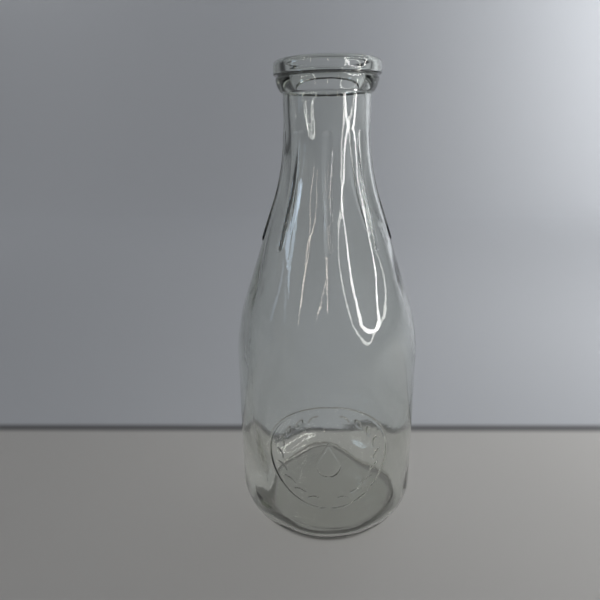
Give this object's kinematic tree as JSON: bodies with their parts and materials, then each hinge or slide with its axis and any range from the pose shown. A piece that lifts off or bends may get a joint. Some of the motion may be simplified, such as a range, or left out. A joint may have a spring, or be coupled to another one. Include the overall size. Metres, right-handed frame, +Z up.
{
  "type": "glass milk bottle",
  "caption": "Clear glass quart milk bottle with a bead lip and disc-cap seat, ribbed neck, sloping shoulder, and round body with a raised badge.",
  "frame": {"origin": "on the bottle's axis, in the plane of the flat ring that it stands on", "axes": "+Z up along the bottle's axis, -Y towards the front with the raised badge"},
  "size_m": [0.103, 0.1033, 0.25],
  "materials": {
    "glass": "gloss"
  },
  "bodies": {
    "root": {"glass_bottle": "glass"}
  },
  "joints": []
}
